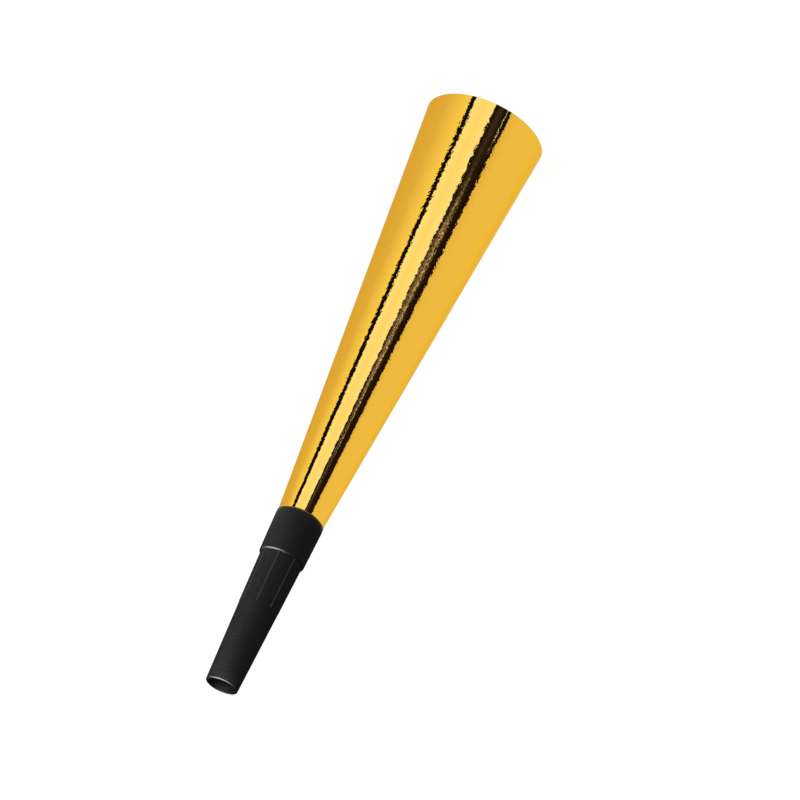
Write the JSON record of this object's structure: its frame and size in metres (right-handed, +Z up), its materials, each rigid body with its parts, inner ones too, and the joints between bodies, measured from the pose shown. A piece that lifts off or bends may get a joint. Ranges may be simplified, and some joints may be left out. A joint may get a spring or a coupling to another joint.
{
  "type": "blown party horn",
  "caption": "Slim gold foil card cone glued into a stepped black plastic mouthpiece with fine ribs and a reed inside; a hand-held horn that is blown.",
  "frame": {"origin": "centre of the bell's rim, where the horn stands on its wide end", "axes": "+Z up the horn's axis from the bell to the mouth end; the reed opens towards +Y"},
  "size_m": [0.044, 0.044, 0.2286],
  "materials": {
    "foil": "vacuum-metallised gold film, mirror bright with fine crinkles",
    "card": "uncoated grey-white card",
    "glue": "dried adhesive",
    "black_plastic": "satin moulded black",
    "holder_plastic": "natural moulded polythene",
    "reed_plastic": "thin smooth polyester strip"
  },
  "bodies": {
    "horn": {"cone_board": "card", "foil_film": "foil", "seam_glue": "glue", "mouthpiece": "black_plastic", "reed_holder": "holder_plastic", "reed_ring": "holder_plastic", "reed_root": "reed_plastic"},
    "tongue": {"reed_tongue": "reed_plastic"}
  },
  "joints": [
    {"name": "reed_flex", "type": "hinge", "parent": "horn", "child": "tongue", "pos_m": [0, 0.00091, 0.18925], "axis": [-1, 0, 0], "range_deg": [-2.2, 3], "stiffness_Nm_per_rad": 0.002}
  ]
}
